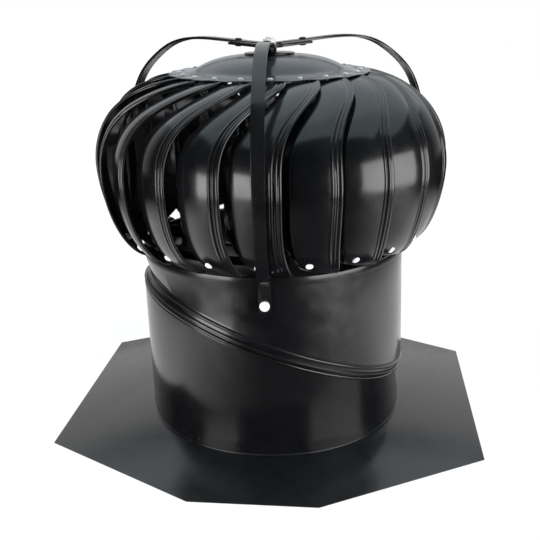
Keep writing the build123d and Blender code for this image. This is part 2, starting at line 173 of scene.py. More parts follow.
class ShaderSheet(NodeBench):
    """One material's node tree."""

    def __init__(self, name: str) -> None:
        """Start a material that holds a Principled shader.

        Args:
            name: Name of the material.
        """
        self.material = bpy.data.materials.new(name)
        self.material.use_nodes = True
        super().__init__(self.material.node_tree)
        self.shader = self.tree.nodes["Principled BSDF"]

    def noise(self, scale: float, detail: float = 2.0, stretch: Triple = (1, 1, 1)) -> Socket:
        """Noise fixed to the object.

        Args:
            scale: Cells in a metre.
            detail: Octaves.
            stretch: Scale along each axis.

        Returns:
            The noise's value.
        """
        place = self.node("TexCoord").outputs["Object"]
        mapping = self.node("Mapping", {"Vector": place, "Scale": stretch})
        inputs = {"Vector": mapping.outputs[0], "Scale": scale, "Detail": detail}
        return self.node("TexNoise", inputs).outputs["Fac"]

    def spread(self, value: Socket, low: float, high: float) -> Socket:
        """Noise's middle range mapped to low..high.

        Args:
            value: The noise.
            low: Result at the low side of its range.
            high: Result at the high side.

        Returns:
            The result.
        """
        limits = {"Value": value, "From Min": 0.3, "From Max": 0.7, "To Min": low, "To Max": high}
        return self.node("MapRange", limits).outputs["Result"]

    def tint(self, value: Socket, low: Triple, high: Triple) -> Socket:
        """Colour between two tones by a value from 0 to 1.

        Args:
            value: The value.
            low: Tone at 0.
            high: Tone at 1.

        Returns:
            The colour.
        """
        mix = self.node("Mix", {"Factor": value}, data_type="RGBA")
        mix.inputs["A"].default_value = (*low, 1)
        mix.inputs["B"].default_value = (*high, 1)
        return mix.outputs["Result"]

    def bump(self, height: Socket, depth: float, before: Socket | None = None) -> Socket:
        """Bump of a depth in millimetres, on top of another bump where one is given.

        Args:
            height: Relief from 0 to 1.
            depth: Height of its crests.
            before: Normal of the bump under it.

        Returns:
            The normal.
        """
        inputs = {"Height": height, "Distance": depth * MM, "Strength": 1.0}
        if before is not None:
            inputs["Normal"] = before
        return self.node("Bump", inputs).outputs["Normal"]

    def feed(self, socket: str, value: Socket | float | Sequence[float]) -> None:
        """Link or set one of the shader's sockets.

        Args:
            socket: Name of the socket.
            value: Number, colour or socket.
        """
        if isinstance(value, Socket):
            self.tree.links.new(value, self.shader.inputs[socket])
        else:
            self.shader.inputs[socket].default_value = value


@dataclass(frozen=True)
class Enamel:
    """Baked enamel on rolled sheet: tone, gloss, orange peel and the sheet's slow waves."""

    name: str
    tone: Triple = (0.0012, 0.0013, 0.0016)
    worn_tone: Triple = (0.0022, 0.0023, 0.0027)
    roughness: float = 0.30
    roughness_spread: float = 0.06
    reflectance: float = 1.0
    peel_scale: float = 420.0
    peel_depth: float = 0.004
    wave_scale: float = 14.0
    wave_depth: float = 0.35

    def material(self) -> bpy.types.Material:
        """Build the enamel's material."""
        sheet = ShaderSheet(self.name)
        cloud = sheet.noise(26.0, 4.0)
        sheet.feed("Base Color", sheet.tint(sheet.spread(cloud, 0, 1), self.tone, self.worn_tone))
        half = self.roughness_spread / 2
        patch = sheet.noise(70.0, 3.0)
        sheet.feed("Roughness", sheet.spread(patch, self.roughness - half, self.roughness + half))
        waves = sheet.bump(sheet.noise(self.wave_scale, 1.0), self.wave_depth)
        sheet.feed("Normal", sheet.bump(sheet.noise(self.peel_scale, 2.0), self.peel_depth, waves))
        sheet.feed("Specular IOR Level", self.reflectance)
        return sheet.material


@dataclass(frozen=True)
class BarePlate:
    """Plated or sintered metal: tone, gloss and fine scratches."""

    name: str
    tone: Triple
    dull_tone: Triple
    roughness: float
    grain_scale: float = 900.0
    grain_depth: float = 0.01
    grain_stretch: Triple = (1, 1, 0.2)
    metallic: float = 1.0

    def material(self) -> bpy.types.Material:
        """Build the metal's material."""
        sheet = ShaderSheet(self.name)
        cloud = sheet.spread(sheet.noise(160.0, 3.0), 0, 1)
        sheet.feed("Base Color", sheet.tint(cloud, self.tone, self.dull_tone))
        patch = sheet.noise(300.0, 2.0)
        sheet.feed("Roughness", sheet.spread(patch, self.roughness * 0.8, self.roughness * 1.25))
        grain = sheet.noise(self.grain_scale, 2.0, self.grain_stretch)
        sheet.feed("Normal", sheet.bump(grain, self.grain_depth))
        sheet.feed("Metallic", self.metallic)
        return sheet.material


class PaintShop:
    """Keeps one material for each slot."""

    finishes: dict[Slot, Enamel | BarePlate] = {
        Slot.BODY: Enamel("collar enamel", roughness=0.19),
        Slot.FLASHING: Enamel("flashing enamel", roughness=0.2, wave_scale=5.0, wave_depth=0.5),
        Slot.VANE: Enamel("vane enamel", roughness=0.18, wave_scale=20.0, wave_depth=0.2),
        Slot.CAP: Enamel(
            "cap enamel", tone=(0.010, 0.012, 0.015), worn_tone=(0.016, 0.018, 0.021),
            roughness=0.22,
        ),
        Slot.BRACE: Enamel("brace enamel", roughness=0.22, wave_scale=40.0, wave_depth=0.1),
        Slot.ZINC: BarePlate(
            "bright zinc", (0.9, 0.91, 0.93), (0.78, 0.79, 0.82), 0.36, metallic=0.35
        ),
        Slot.BRONZE: BarePlate("oiled bronze", (0.42, 0.27, 0.12), (0.3, 0.19, 0.09), 0.4),
    }

    def __init__(self) -> None:
        """Mix every finish."""
        self.materials = {slot: finish.material() for slot, finish in self.finishes.items()}

    def paint(self, piece: bpy.types.Object, slot: Slot) -> None:
        """Give a piece its finish and its slot.

        Args:
            piece: Object to paint.
            slot: Slot of the record that it takes its finish from.
        """
        piece.data.materials.clear()
        piece.data.materials.append(self.materials[slot])


# ---------------------------------------------------------------- metalwork
@dataclass
class Workshop:
    """Turns shaped bmeshes into painted pieces that ride on a body."""

    paint: PaintShop
    segments: int = 240
    crease: float = 32.0
    merge: float = 0.001
    node_merge: float = 0.002
    flat_angle: float = 0.5
    sharp_angle: float = 40.0

    def piece(
        self,
        shape: bmesh.types.BMesh,
        name: str,
        body: Body,
        slot: Slot,
        replaces: Sequence[str] = (),
        closed: bool = True,
        settle: bool = False,
    ) -> bpy.types.Object:
        """Finish a shape as an object of the scene.

        Args:
            shape: The shape, in millimetres and in place.
            name: Name of the object.
            body: Body that it rides on.
            slot: Slot of its finish.
            replaces: CAD nodes that it stands for.
            closed: Whether its faces are turned outwards here.
            settle: Whether its points and faces are put in one fixed order.

        Returns:
            The finished object.
        """
        bmesh.ops.remove_doubles(shape, verts=shape.verts, dist=self.merge)
        if closed:
            bmesh.ops.recalc_face_normals(shape, faces=shape.faces)
        if settle:
            for rank, point in enumerate(sorted(shape.verts, key=lambda spot: tuple(spot.co))):
                point.index = rank
            middles = {face: tuple(face.calc_center_median()) for face in shape.faces}
            for rank, face in enumerate(sorted(shape.faces, key=middles.get)):
                face.index = rank
            shape.verts.sort()
            shape.faces.sort()
        bmesh.ops.scale(shape, vec=(MM, MM, MM), verts=shape.verts)
        mesh = bpy.data.meshes.new(name)
        shape.to_mesh(mesh)
        shape.free()
        mesh.shade_smooth()
        mesh.set_sharp_from_angle(angle=radians(self.crease))
        made = bpy.data.objects.new(name, mesh)
        bpy.context.scene.collection.objects.link(made)
        self.paint.paint(made, slot)
        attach(made, body.value)
        if replaces:
            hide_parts(*replaces)
        log.info("%s: %d faces", name, len(mesh.polygons))
        return made

    def turned(self, section: Sequence[Point]) -> bmesh.types.BMesh:
        """Spin a closed section of (radius, level) points about the Z axis.

        Args:
            section: Points of the section.

        Returns:
            The spun shape.
        """
        shape = bmesh.new()
        points = [shape.verts.new((radius, 0, level)) for radius, level in section]
        edges = [shape.edges.new(pair) for pair in zip(points, points[1:])]
        edges.append(shape.edges.new((points[-1], points[0])))
        bmesh.ops.spin(
            shape, geom=points + edges, cent=(0, 0, 0), axis=(0, 0, 1), angle=2 * pi,
            steps=self.segments, use_merge=True,
        )
        bmesh.ops.remove_doubles(shape, verts=shape.verts, dist=self.merge)
        return shape

    def skinned(self, stations: Sequence[Station]) -> bmesh.types.BMesh:
        """Bridge a closed chain of circles.

        Args:
            stations: Radius and place of each circle, outside first and then the inside back.

        Returns:
            The skinned wall.
        """
        shape = bmesh.new()
        loops = []
        for radius, place in stations:
            made = bmesh.ops.create_circle(
                shape, segments=self.segments, radius=radius, matrix=place
            )
            loops.append({edge for point in made["verts"] for edge in point.link_edges})
        for here, there in zip(loops, loops[1:] + loops[:1]):
            bmesh.ops.bridge_loops(shape, edges=[*here, *there])
        return shape

    def dressed(self, node: str, body: Body, slot: Slot, edge: float = 0.25) -> bpy.types.Object:
        """Copy a CAD node and ease its sharp edges.

        Args:
            node: Name of the CAD node.
            body: Body that it rides on.
            slot: Slot of its finish.
            edge: Width of the eased edges.

        Returns:
            The piece that stands for the node.
        """
        shape = bmesh.new()
        shape.from_mesh(bpy.data.objects[node].data)
        bmesh.ops.scale(shape, vec=(1 / MM, 1 / MM, 1 / MM), verts=shape.verts)
        bmesh.ops.remove_doubles(shape, verts=shape.verts, dist=self.node_merge)
        bmesh.ops.dissolve_limit(
            shape, angle_limit=radians(self.flat_angle), verts=shape.verts, edges=shape.edges,
            use_dissolve_boundaries=False,
        )
        limit = radians(self.sharp_angle)
        folds = [seam for seam in shape.edges if seam.is_manifold]
        sharp = [seam for seam in folds if seam.calc_face_angle() > limit]
        bmesh.ops.bevel(
            shape, geom=sharp, offset=edge, offset_type="OFFSET", affect="EDGES", segments=2,
            profile=0.5, material=-1, clamp_overlap=True,
        )
        return self.piece(shape, node + "_dressed", body, slot, [node], closed=False)


def level_place(height: float, heading: float = 0.0) -> Matrix:
    """Place of a horizontal circle at a height, turned to a heading.

    Args:
        height: Height over the roof face.
        heading: Turn about the axis.

    Returns:
        The place.
    """
    return Matrix.Translation((0, 0, height)) @ Matrix.Rotation(radians(heading), 4, "Z")


def facing(origin: Vector, normal: Vector) -> Matrix:
    """Place whose Z axis runs along a normal.

    Args:
        origin: Where it is.
        normal: Direction of its Z axis.

    Returns:
        The place.
    """
    return Matrix.Translation(origin) @ normal.to_track_quat("Z", "Y").to_matrix().to_4x4()


def around(heading: float) -> Vector:
    """Unit vector out from the axis along a heading."""
    turn = radians(heading - 90)
    return Vector((cos(turn), sin(turn), 0))


def arc(centre: Point, radius: float, start: float, end: float, steps: int) -> list[Point]:
    """Points along an arc, both ends kept.

    Args:
        centre: Centre of the arc.
        radius: Its radius.
        start: First angle in degrees.
        end: Last angle in degrees.
        steps: Number of chords.

    Returns:
        The points.
    """
    angles = [radians(start + (end - start) * step / steps) for step in range(steps + 1)]
    return [(centre[0] + radius * cos(angle), centre[1] + radius * sin(angle)) for angle in angles]


# ---------------------------------------------------------------- flashing and collars
@dataclass
class Flashing:
    """Flat roof plate with its drawn neck."""

    shop: Workshop
    edge: float = 0.25

    def build(self) -> None:
        """Dress the plate."""
        self.shop.dressed("flashing_plate", Body.BASE, Slot.FLASHING, self.edge)


@dataclass
class Collars:
    """Two collar halves that turn on an oblique captive hem."""

    shop: Workshop
    sheet: float = 0.8
    plate_sheet: float = 0.9
    radius: float = 152.4
    top: float = 208.5
    foot_straight: float = 16.0
    rim_straight: float = 9.0
    rim_bead: float = 1.2
    seam_height: float = 112.0
    seam_tilt: float = 21.0
    seam_heading: float = 20.0
    swivel_radius: float = 161.0
    swivel_gap: float = 0.3
    flange_reach: float = 2.8
    band_height: float = 10.0
    bead_drop: float = 6.4
    bead_radius: float = 1.8
    fold_ease: float = 1.5
    fold_rise: float = 0.05
    bend_ease: float = 0.6
    bend_dip: float = 0.1
    tip_round: float = 0.3
    lip_round: float = 0.4
    lip_height: float = 2.0
    hem_round: float = 0.8
    foot_lead: float = 0.5
    clinch_count: int = 74
    clinch_level: float = 8.0
    clinch_size: float = 1.7
    clinch_height: float = 0.85

    def __post_init__(self) -> None:
        """Work out the seam's plane."""
        tilt = radians(self.seam_tilt)
        swing = Matrix.Rotation(radians(self.seam_heading), 4, "Z")
        lift = Matrix.Translation((0, 0, self.seam_height))
        self.seam = lift @ swing @ Matrix.Rotation(tilt, 4, "Y")

    def level(self, height: float) -> Matrix:
        """Place of a round end's circle."""
        return level_place(height, self.seam_heading)

    def tilted(self, along: float) -> Matrix:
        """Place of a circle at a distance along the seam's axis."""
        return self.seam @ Matrix.Translation((0, 0, along))

    def bead(self, middle: float) -> list[Point]:
        """Section of a stiffening bead on the band, from its lower side to its upper side."""
        centre = self.swivel_radius - self.sheet / 2
        return arc((centre, middle), self.bead_radius + self.sheet / 2, -80, 80, 10)

    def lower(self) -> bpy.types.Object:
        """Build the lower collar, from its foot to the flange inside the hem."""
        wall, band, sheet = self.radius, self.swivel_radius, self.sheet
        foot = self.plate_sheet
        straight = foot + self.foot_straight
        flange = -self.swivel_gap / 2
        tip = band + self.flange_reach
        roll = sheet / 2 + self.rim_bead / 2
        rolled = arc((wall + self.rim_bead - roll, foot + roll), roll, -85, 70, 6)
        outside = [(radius, self.level(height)) for radius, height in rolled]
        outside += [
            (wall, self.level(foot + 2 * roll + self.foot_lead)),
            (wall, self.level(straight - self.fold_ease)),
            (wall + self.fold_rise, self.level(straight)),
            (band - self.bend_dip, self.tilted(-self.band_height - self.bend_ease)),
            (band, self.tilted(-self.band_height + self.bend_ease)),
        ]
        outside += [(radius, self.tilted(along)) for radius, along in self.bead(-self.bead_drop)]
        outside += [
            (band, self.tilted(flange - sheet)),
            (tip - self.tip_round, self.tilted(flange - sheet)),
            (tip, self.tilted(flange - sheet / 2)),
            (tip - self.tip_round, self.tilted(flange)),
        ]
        inside = [
            (band - sheet, self.tilted(flange)),
            (band - sheet, self.tilted(-self.band_height)),
            (wall - sheet, self.level(straight)),
            (wall - sheet, self.level(foot)),
        ]
        wall_shape = self.shop.skinned(outside + inside)
        return self.shop.piece(
            wall_shape, "lower_collar_wall", Body.BASE, Slot.BODY, ["lower_collar"]
        )

    def upper(self) -> bpy.types.Object:
        """Build the upper collar, from the hem round the flange to the top rim."""
        wall, band, sheet, gap = self.radius, self.swivel_radius, self.sheet, self.swivel_gap
        flange = -gap / 2
        roof = flange + gap
        floor = flange - sheet - gap
        inner = band + self.flange_reach + gap
        outer = inner + sheet
        curl = sheet * self.hem_round
        inset = sheet - curl
        hem = [(band + gap, floor - sheet), (outer - sheet, floor - sheet)]
        hem += arc((outer - curl, floor - inset), curl, -80, 0, 3)
        hem += arc((outer - curl, roof + inset), curl, 0, 80, 3)
        hem += [(band + self.lip_round, roof + sheet), *self.bead(self.bead_drop)]
        rim = self.top - self.rim_straight
        lip = wall - sheet - self.rim_bead
        outside = [(radius, self.tilted(along)) for radius, along in hem]
        outside += [
            (band, self.tilted(self.band_height - self.bend_ease)),
            (band - self.bend_dip, self.tilted(self.band_height + self.bend_ease)),
            (wall + self.fold_rise, self.level(rim)),
            (wall, self.level(rim + self.fold_ease)),
            (wall, self.level(self.top - sheet)),
            (wall - sheet * self.tip_round, self.level(self.top - self.bend_dip)),
        ]
        inside = [
            (lip + self.lip_round, self.level(self.top)),
            (lip, self.level(self.top - self.lip_height / 2)),
            (lip + self.lip_round, self.level(self.top - self.lip_height)),
            (wall - sheet, self.level(self.top - self.lip_height)),
            (wall - sheet, self.level(rim)),
            (band - sheet, self.tilted(self.band_height)),
            (band - sheet, self.tilted(roof)),
            (inner, self.tilted(roof)),
            (inner, self.tilted(floor)),
            (band + gap, self.tilted(floor)),
        ]
        wall_shape = self.shop.skinned(outside + inside)
        return self.shop.piece(
            wall_shape, "upper_collar_wall", Body.UPPER, Slot.BODY, ["upper_collar"]
        )

    def clinches(self) -> bpy.types.Object:
        """Build the row of clinches round the collar's foot."""
        shape = bmesh.new()
        squash = Matrix.Diagonal((self.clinch_size, self.clinch_size, self.clinch_height, 1))
        for number in range(self.clinch_count):
            out = around(360 * number / self.clinch_count)
            place = facing(out * self.radius + Vector((0, 0, self.clinch_level)), out)
            bmesh.ops.create_icosphere(shape, subdivisions=1, radius=1, matrix=place @ squash)
        return self.shop.piece(shape, "foot_clinches", Body.BASE, Slot.BODY)

    def build(self) -> None:
        """Build both halves and the clinches."""
        self.lower()
        self.upper()
        self.clinches()


# ---------------------------------------------------------------- turbine head
@dataclass
class HeadOutline:
    """Path of a vane's outer edge: -1 is its foot, 0 its widest level and 1 its crown."""

    foot: float = 212.0
    middle: float = 305.0
    crown: float = 399.5
    foot_radius: float = 154.0
    radius: float = 198.1
    crown_radius: float = 98.0
    foot_fullness: float = 1.7
    crown_fullness: float = 2.05
    foot_twist: float = 4.5
    crown_twist: float = 24.0
    twist_onset: float = 4.0

    def point(self, share: float) -> Triple:
        """Radius, height and turn of the edge at a share of the head's height."""
        upper = share > 0
        end_radius = self.crown_radius if upper else self.foot_radius
        fullness = self.crown_fullness if upper else self.foot_fullness
        end_height = self.crown if upper else self.foot
        twist = self.crown_twist if upper else self.foot_twist
        bulge = sqrt(max(0.0, 1 - abs(share) ** fullness))
        radius = end_radius + (self.radius - end_radius) * bulge
        height = self.middle + (end_height - self.middle) * abs(share)
        return radius, height, twist * abs(share) ** self.twist_onset

    def rise(self, share: float) -> Vector:
        """Upward direction of the outline, as (out, up)."""
        before = self.point(max(-1.0, share - 0.01))
        after = self.point(min(1.0, share + 0.01))
        return Vector((after[0] - before[0], after[1] - before[1])).normalized()

    def place(self, heading: float, share: float) -> Matrix:
        """Place at the edge: X runs back along the vane and Y runs out, square to the outline.

        Args:
            heading: Heading of the vane at the widest level.
            share: Share of the head's height.

        Returns:
            The place.
        """
        radius, height, turn = self.point(share)
        rise = self.rise(share)
        out = around(heading + turn)
        back = Vector((out.y, -out.x, 0))
        along = out * rise.x + Vector((0, 0, rise.y))
        outwards = along.cross(back)
        origin = out * radius + Vector((0, 0, height))
        axes = Matrix((back, outwards, along)).transposed().to_4x4()
        return Matrix.Translation(origin) @ axes


@dataclass
class Vane:
    """One pressed vane: rolled outer edge, two beads, dished blade and turned inner flange."""

    outline: HeadOutline
    width: Triple = (41.0, 48.0, 42.0)
    depth: Triple = (10.0, 18.5, 7.0)
    sheet: float = 0.8
    roll: float = 1.1
    bead_places: Point = (5.4, 9.6)
    bead_widths: Point = (1.9, 1.9)
    bead_rises: Point = (1.3, 1.0)
    hem: float = 2.6
    dish_start: float = 6.6
    dish_power: float = 1.8
    lead_fall: float = 0.1
    tip_fade: float = 0.8
    inner_room: float = 0.8
    inner_roll: float = 1.6
    flange: float = 20.0
    flange_least: float = 0.6
    flange_foot: float = 0.88
    flange_powers: tuple[int, int] = (4, 6)
    flange_turn: float = 38.0
    roll_angles: Point = (-120.0, -300.0)
    roll_steps: int = 6
    beaded: float = 13.0
    bead_steps: int = 26
    blade_steps: int = 16
    rows: int = 72

    def blend(self, ends: Triple, share: float) -> float:
        """Value at a share from its values at the foot, middle and crown.

        Args:
            ends: The three values.
            share: Share of the head's height.

        Returns:
            The value.
        """
        end = ends[2] if share > 0 else ends[0]
        return ends[1] + (end - ends[1]) * abs(share) ** 2

    def tip(self, share: float) -> float:
        """Share of the pressing that is left towards the vane's ends."""
        return 1 - self.tip_fade * share**2

    def surface(self, back: float, share: float) -> float:
        """How far the outer face stands out at a distance back from the edge.

        Args:
            back: Distance back from the outer edge.
            share: Share of the head's height.

        Returns:
            The distance out from the outline.
        """
        width = self.blend(self.width, share)
        depth = self.blend(self.depth, share)
        lead = self.lead_fall
        if back < self.dish_start:
            fall = lead * max(0.0, back - self.hem) / (self.dish_start - self.hem)
        else:
            across = (back - self.dish_start) / (width - self.dish_start)
            fall = lead + (1 - lead) * across**self.dish_power
        stand = self.sheet / 2 - depth * fall
        for place, half, rise in zip(self.bead_places, self.bead_widths, self.bead_rises):
            away = abs(back - place) / half
            if away < 1:
                stand += rise * self.tip(share) * (cos(away * pi) + 1) / 2
        return stand

    def reach(self, share: float) -> float:
        """Length of the inner flange at a share, which runs out towards both ends."""
        foot_power, crown_power = self.flange_powers
        if share > 0:
            left = 1 - share**crown_power
        else:
            left = max(0.0, 1 - (share / self.flange_foot) ** foot_power)
        return self.flange_least + self.flange * left

    def section(self, share: float) -> list[Point]:
        """Outer face of the vane at a share, from inside the rolled edge to the flange's rim."""
        width = self.blend(self.width, share)
        rolled = arc((self.roll, 0), self.roll, *self.roll_angles, self.roll_steps)
        strip = self.beaded - self.hem
        beads = [self.hem + strip * step / self.bead_steps for step in range(self.bead_steps)]
        plain = width - self.inner_roll - self.beaded
        blade = [
            self.beaded + plain * step / self.blade_steps for step in range(self.blade_steps + 1)
        ]
        pressed = [(back, self.surface(back, share)) for back in beads + blade]
        end_back, end_out = pressed[-1]
        lean = degrees(atan2(self.surface(end_back - 1, share) - end_out, 1))
        bend = self.flange_turn * self.tip(share)
        top = 90 - lean
        centre = (
            end_back - self.inner_roll * cos(radians(top)),
            end_out - self.inner_roll * sin(radians(top)),
        )
        curled = arc(centre, self.inner_roll, top - bend / 4, top - bend, 3)
        heel_back, heel_out = curled[-1]
        drop = radians(top - bend - 90)
        rim_back = heel_back + self.reach(share) * cos(drop)
        rim_out = heel_out + self.reach(share) * sin(drop)
        middle = ((heel_back + rim_back) / 2, (heel_out + rim_out) / 2)
        return [*rolled, *pressed, *curled, middle, (rim_back, rim_out)]

    def shape(self, heading: float) -> bmesh.types.BMesh:
        """Press a flat grid onto the vane's face.

        Args:
            heading: Heading of its outer edge at the widest level.

        Returns:
            The vane's outer face, in place.
        """
        columns = len(self.section(0.0))
        shape = bmesh.new()
        bmesh.ops.create_grid(shape, x_segments=columns - 1, y_segments=self.rows, size=0.5)
        lines = []
        for row in range(self.rows + 1):
            share = sin(radians(-90 + 180 * row / self.rows))
            place = self.outline.place(heading, share)
            lines.append([place @ Vector((back, out, 0)) for back, out in self.section(share)])
        for point in shape.verts:
            column = round((point.co.x + 0.5) * (columns - 1))
            row = round((point.co.y + 0.5) * self.rows)
            point.co = lines[row][column]
        return shape


@dataclass
class Head:
    """Spinning head: vanes between the bottom ring and the cap, with their rivets and bearings."""

    shop: Workshop
    vane: Vane
    count: int = 21
    start: float = 8.5
    sheet: float = 0.8
    seat_gap: float = 0.3
    ring_inner: float = 147.0
    ring_start: float = 0.985
    ring_finish: float = 0.84
    cap_radius: float = 112.0
    cap_brim: float = 96.0
    cap_seat: float = 84.0
    cap_fall: float = 0.7
    cap_step: float = 2.4
    cap_top: float = 419.5
    cap_bore: float = 9.0
    cap_fullness: float = 3.5
    cap_ripple: float = 0.35
    cap_edge: float = 0.25
    brim_flat: float = 6.0
    brim_sink: float = 0.1
    step_lead: float = 3.0
    step_rise: float = 0.5
    shoulder: float = 2.0
    shoulder_drop: float = 0.7
    dome_steps: int = 24
    ring_ease: float = 0.15
    hem_thickness: float = 2.2
    rivet_radius: float = 4.6
    rivet_height: float = 2.4
    ring_rivet_share: float = -0.89
    ring_rivet_back: float = 30.0
    cap_rivet_place: float = 101.0
    cap_rivet_heading: float = 6.3
    cap_rivet_radius: float = 3.0
    cap_rivet_height: float = 1.7
    cap_rivet_sink: float = 0.3
    rivet_segments: tuple[int, int] = (16, 10)
    bush_edge: float = 0.1

    def headings(self) -> list[float]:
        """Heading of each vane."""
        return [self.start + 360 * number / self.count for number in range(self.count)]

    def vanes(self) -> None:
        """Build every vane and give it its wall."""
        for number, heading in enumerate(self.headings(), 1):
            node = f"vane_{number:02d}"
            shape = self.vane.shape(heading)
            made = self.shop.piece(
                shape, node + "_pressed", Body.TURBINE, Slot.VANE, [node], closed=False
            )
            middle = made.data.polygons[len(made.data.polygons) // 2]
            if middle.normal.dot(middle.center - Vector((0, 0, middle.center.z))) < 0:
                made.data.flip_normals()
            wall = made.modifiers.new("wall", "SOLIDIFY")
            wall.thickness = self.vane.sheet * MM
            wall.offset = -1

    def inside(self, share: float) -> Point:
        """Point of the outline moved in to clear the vanes' inner edges.

        Args:
            share: Share of the head's height.

        Returns:
            The point, as (radius, level).
        """
        radius, height, _ = self.vane.outline.point(share)
        rise = self.vane.outline.rise(share)
        depth = self.vane.blend(self.vane.depth, share)
        inward = depth + self.sheet / 2 + self.vane.inner_room + self.seat_gap
        return radius - rise.y * inward, height + rise.x * inward

    def ring(self) -> None:
        """Build the ring that the vanes' feet are riveted to."""
        foot, crest = self.inside(-self.ring_start), self.inside(-self.ring_finish)
        floor = foot[1] - self.sheet
        section = [
            (self.ring_inner, floor),
            (foot[0], floor),
            (foot[0] + self.sheet / 2, floor + self.ring_ease),
            (crest[0], crest[1]),
            (crest[0] - self.sheet, crest[1] + self.sheet / 2),
            (foot[0] - self.sheet / 2, floor + self.sheet),
            (self.ring_inner, floor + self.sheet),
        ]
        self.shop.piece(
            self.shop.turned(section), "bottom_ring_spun", Body.TURBINE, Slot.BODY,
            ["bottom_ring"], settle=True,
        )

    def cap(self) -> None:
        """Build the domed cap with its flat, slightly rippled brim."""
        brim = self.vane.outline.crown + self.hem_thickness / 2 + self.cap_fall
        seat = brim + self.cap_step
        edge = brim - self.cap_fall
        top = brim + self.sheet
        outer = [
            (self.cap_radius, edge),
            (self.cap_radius + self.cap_edge, edge + self.sheet / 2),
            (self.cap_radius, edge + self.sheet),
            (self.cap_brim + self.brim_flat, top - self.brim_sink),
            (self.cap_brim, top),
            (self.cap_brim - self.step_lead, top + self.step_rise),
            (self.cap_seat + self.shoulder, seat + self.sheet - self.shoulder_drop),
            (self.cap_seat, seat + self.sheet),
        ]
        outer += self.dome(seat + self.sheet, self.cap_top)
        inner = list(reversed(self.dome(seat, self.cap_top - self.sheet)))
        inner += [(self.cap_seat, seat), (self.cap_brim, brim)]
        shape = self.shop.turned([*outer, *inner])
        for point in shape.verts:
            reach = point.co.xy.length
            if reach > self.cap_seat:
                share = (reach - self.cap_seat) / (self.cap_radius - self.cap_seat)
                turn = atan2(point.co.y, point.co.x)
                point.co.z += self.cap_ripple * share * (sin(self.count * turn) - 1)
        self.shop.piece(shape, "cap_spun", Body.TURBINE, Slot.CAP, ["cap"], settle=True)

    def dome(self, seat: float, top: float) -> list[Point]:
        """Section of the dome from its seat up to its bore.

        Args:
            seat: Level of its foot.
            top: Level of its crown.

        Returns:
            The points of the section.
        """
        steps, run, rise = self.dome_steps, self.cap_bore - self.cap_seat, top - seat
        radii = [self.cap_seat + run * step / steps for step in range(1, steps + 1)]
        shares = [(radius / self.cap_seat) ** self.cap_fullness for radius in radii]
        return [(radius, top - rise * share) for radius, share in zip(radii, shares)]

    def rivet(self, shape: bmesh.types.BMesh, place: Matrix, radius: float, height: float) -> None:
        """Add a domed rivet head.

        Args:
            shape: Shape that it joins.
            place: Place on the sheet, with Z outwards.
            radius: Radius of the head.
            height: Height of the head.
        """
        squash = Matrix.Diagonal((radius, radius, height, 1))
        round_steps, rise_steps = self.rivet_segments
        bmesh.ops.create_uvsphere(
            shape, u_segments=round_steps, v_segments=rise_steps, radius=1, matrix=place @ squash
        )

    def foot_rivets(self) -> None:
        """Build the rivets that hold the vanes' feet to the ring."""
        shape = bmesh.new()
        share, back = self.ring_rivet_share, self.ring_rivet_back
        for heading in self.headings():
            place = self.vane.outline.place(heading, share)
            stand = place @ Vector((back, self.vane.surface(back, share), 0))
            self.rivet(shape, facing(stand, place.col[1].xyz), self.rivet_radius, self.rivet_height)
        self.shop.piece(shape, "foot_rivets", Body.TURBINE, Slot.ZINC, settle=True)

    def cap_rivets(self) -> None:
        """Build the rivets that hold the vanes' heads to the cap's brim."""
        shape = bmesh.new()
        brim = self.vane.outline.crown + self.hem_thickness / 2 + self.cap_fall
        level = brim + self.sheet - self.cap_rivet_sink
        for number in range(self.count):
            out = around(self.cap_rivet_heading + 360 * number / self.count)
            place = facing(out * self.cap_rivet_place + Vector((0, 0, level)), Vector((0, 0, 1)))
            self.rivet(shape, place, self.cap_rivet_radius, self.cap_rivet_height)
        self.shop.piece(shape, "cap_rivets", Body.TURBINE, Slot.ZINC, settle=True)

    def bearings(self) -> None:
        """Dress the housing, the spider and the bushes."""
        self.shop.dressed("upper_housing", Body.TURBINE, Slot.BRACE)
        self.shop.dressed("rotor_spider", Body.TURBINE, Slot.BODY)
        for node in ("upper_bush", "lower_bush"):
            self.shop.dressed(node, Body.TURBINE, Slot.BRONZE, self.bush_edge)

    def build(self) -> None:
        """Build the head."""
        self.vanes()
        self.ring()
        self.cap()
        self.foot_rivets()
        self.cap_rivets()
        self.bearings()


# ---------------------------------------------------------------- braces and hardware
@dataclass
class Braces:
    """Three outside straps, the hub they meet at and the fixed shaft's hardware."""

    shop: Workshop
    sides: tuple[str, ...] = ("front", "right", "left")
    strap_edge: float = 0.5
    plate_edge: float = 0.35
    bolt_edge: float = 0.6
    rivet_edge: float = 0.4
    shaft_edge: float = 0.3
    nut_edge: float = 0.5

    def build(self) -> None:
        """Dress the straps, the hub, the lower brace and their fasteners."""
        pieces: list[tuple[str, Slot, float]] = []
        for side in self.sides:
            pieces += [
                (f"brace_{side}", Slot.BRACE, self.strap_edge),
                (f"bolt_{side}", Slot.ZINC, self.bolt_edge),
                (f"bolt_nut_{side}", Slot.ZINC, self.shaft_edge),
                (f"hub_rivet_{side}", Slot.BRACE, self.rivet_edge),
            ]
        pieces += [
            ("brace_hub", Slot.BRACE, self.plate_edge),
            ("lower_brace", Slot.BODY, self.plate_edge),
            ("shaft", Slot.ZINC, self.shaft_edge),
            ("top_nut", Slot.ZINC, self.nut_edge),
            ("bottom_nut", Slot.ZINC, self.nut_edge),
            ("thrust_collar", Slot.ZINC, self.shaft_edge),
        ]
        for node, slot, edge in pieces:
            self.shop.dressed(node, Body.UPPER, slot, edge)


